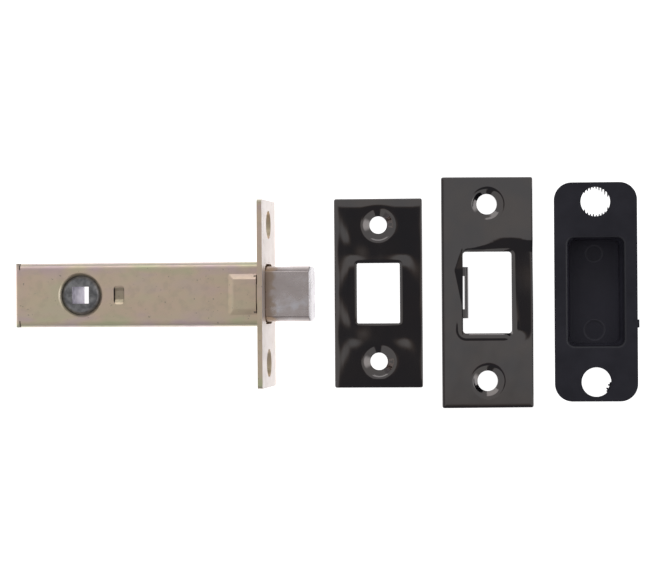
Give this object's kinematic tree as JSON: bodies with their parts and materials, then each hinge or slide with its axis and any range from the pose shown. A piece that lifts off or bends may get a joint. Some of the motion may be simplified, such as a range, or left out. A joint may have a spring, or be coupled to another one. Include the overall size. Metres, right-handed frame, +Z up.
{
  "type": "bathroom deadbolt",
  "caption": "Tubular bathroom deadbolt with a folded case, sliding bolt and square-drive follower, laid out beside its forend plate, strike plate and moulded dust box.",
  "frame": {"origin": "on the bench, below the middle of the whole set as it is laid out", "axes": "+Z up from the bench, +X the way the bolt is thrown, +Y along the forend"},
  "size_m": [0.1899, 0.071, 0.025],
  "materials": {
    "zinc_plated_steel": "satin passivated",
    "nickel_plated_bolt": "satin",
    "bare_steel": "mill",
    "spring_steel": "blued",
    "follower_metal": "as cast",
    "black_nickel": "gloss plated",
    "black_plastic": "moulded"
  },
  "bodies": {
    "lock_set": {"case_shell": "zinc_plated_steel", "case_cover": "zinc_plated_steel", "inner_forend": "zinc_plated_steel", "detent_spring": "spring_steel", "spring_rivet": "bare_steel", "forend_plate": "black_nickel", "strike_plate": "black_nickel", "dust_box": "black_plastic"},
    "bolt": {"bolt_head": "nickel_plated_bolt", "tail_plate_shell_side": "zinc_plated_steel", "tail_plate_cover_side": "zinc_plated_steel", "bolt_rivet_upper": "bare_steel", "bolt_rivet_lower": "bare_steel", "drive_pin_front": "bare_steel", "drive_pin_rear": "bare_steel"},
    "follower": {"follower": "follower_metal"}
  },
  "joints": [
    {"name": "follower_turn", "type": "hinge", "parent": "lock_set", "child": "follower", "pos_m": [-0.07415, 0, 0.00912], "axis": [-0.0605, 0, 0.9982], "range_deg": [0, 91], "deforming": ["detent_spring"]},
    {"name": "bolt_slide", "type": "slide", "parent": "lock_set", "child": "bolt", "axis": [-0.9982, 0, -0.0605], "range_m": [0, 0.012]}
  ],
  "couplings": [
    {"joint": "follower_turn", "follows": "bolt_slide", "rad_per_m": 130.9}
  ]
}
